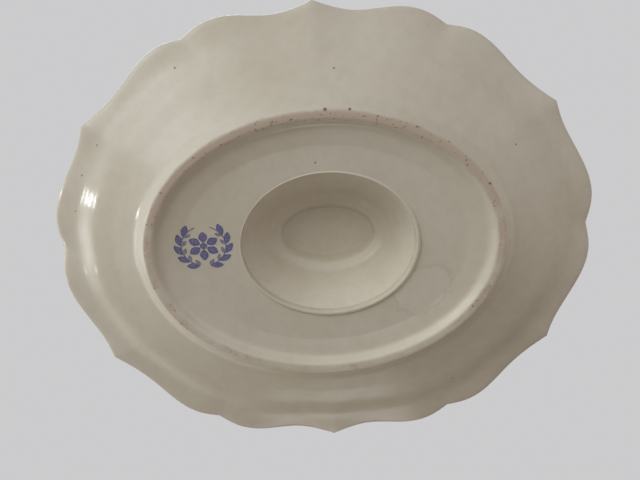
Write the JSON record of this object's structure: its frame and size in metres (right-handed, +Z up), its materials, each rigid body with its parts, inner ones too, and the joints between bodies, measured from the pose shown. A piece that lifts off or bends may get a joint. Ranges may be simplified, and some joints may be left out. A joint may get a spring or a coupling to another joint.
{
  "type": "sauce bowl on attached stand",
  "caption": "Boat-shaped serving bowl with two pouring lips and two loop handles, on a hollow foot luted to an oval scalloped stand.",
  "frame": {"origin": "middle of the stand's outline, on the surface that the foot ring rests on", "axes": "+X along the long axis of the stand and of the bowl, through the right pouring lip; +Y across, towards the back handle; +Z up"},
  "size_m": [0.25, 0.207, 0.098],
  "materials": {
    "ivory_glaze": "glossy",
    "slip_under_glaze": "glossy",
    "cobalt_print": "glossy"
  },
  "bodies": {
    "root": {"stand": "ivory_glaze", "hollow_foot": "ivory_glaze", "bowl": "ivory_glaze", "handle_back": "ivory_glaze", "handle_front": "ivory_glaze", "underside_bead": "slip_under_glaze", "foot_slip_joint": "slip_under_glaze", "bowl_slip_joint": "slip_under_glaze", "handle_back_slip_joints": "slip_under_glaze", "handle_front_slip_joints": "slip_under_glaze", "printed_mark": "cobalt_print"}
  },
  "joints": []
}
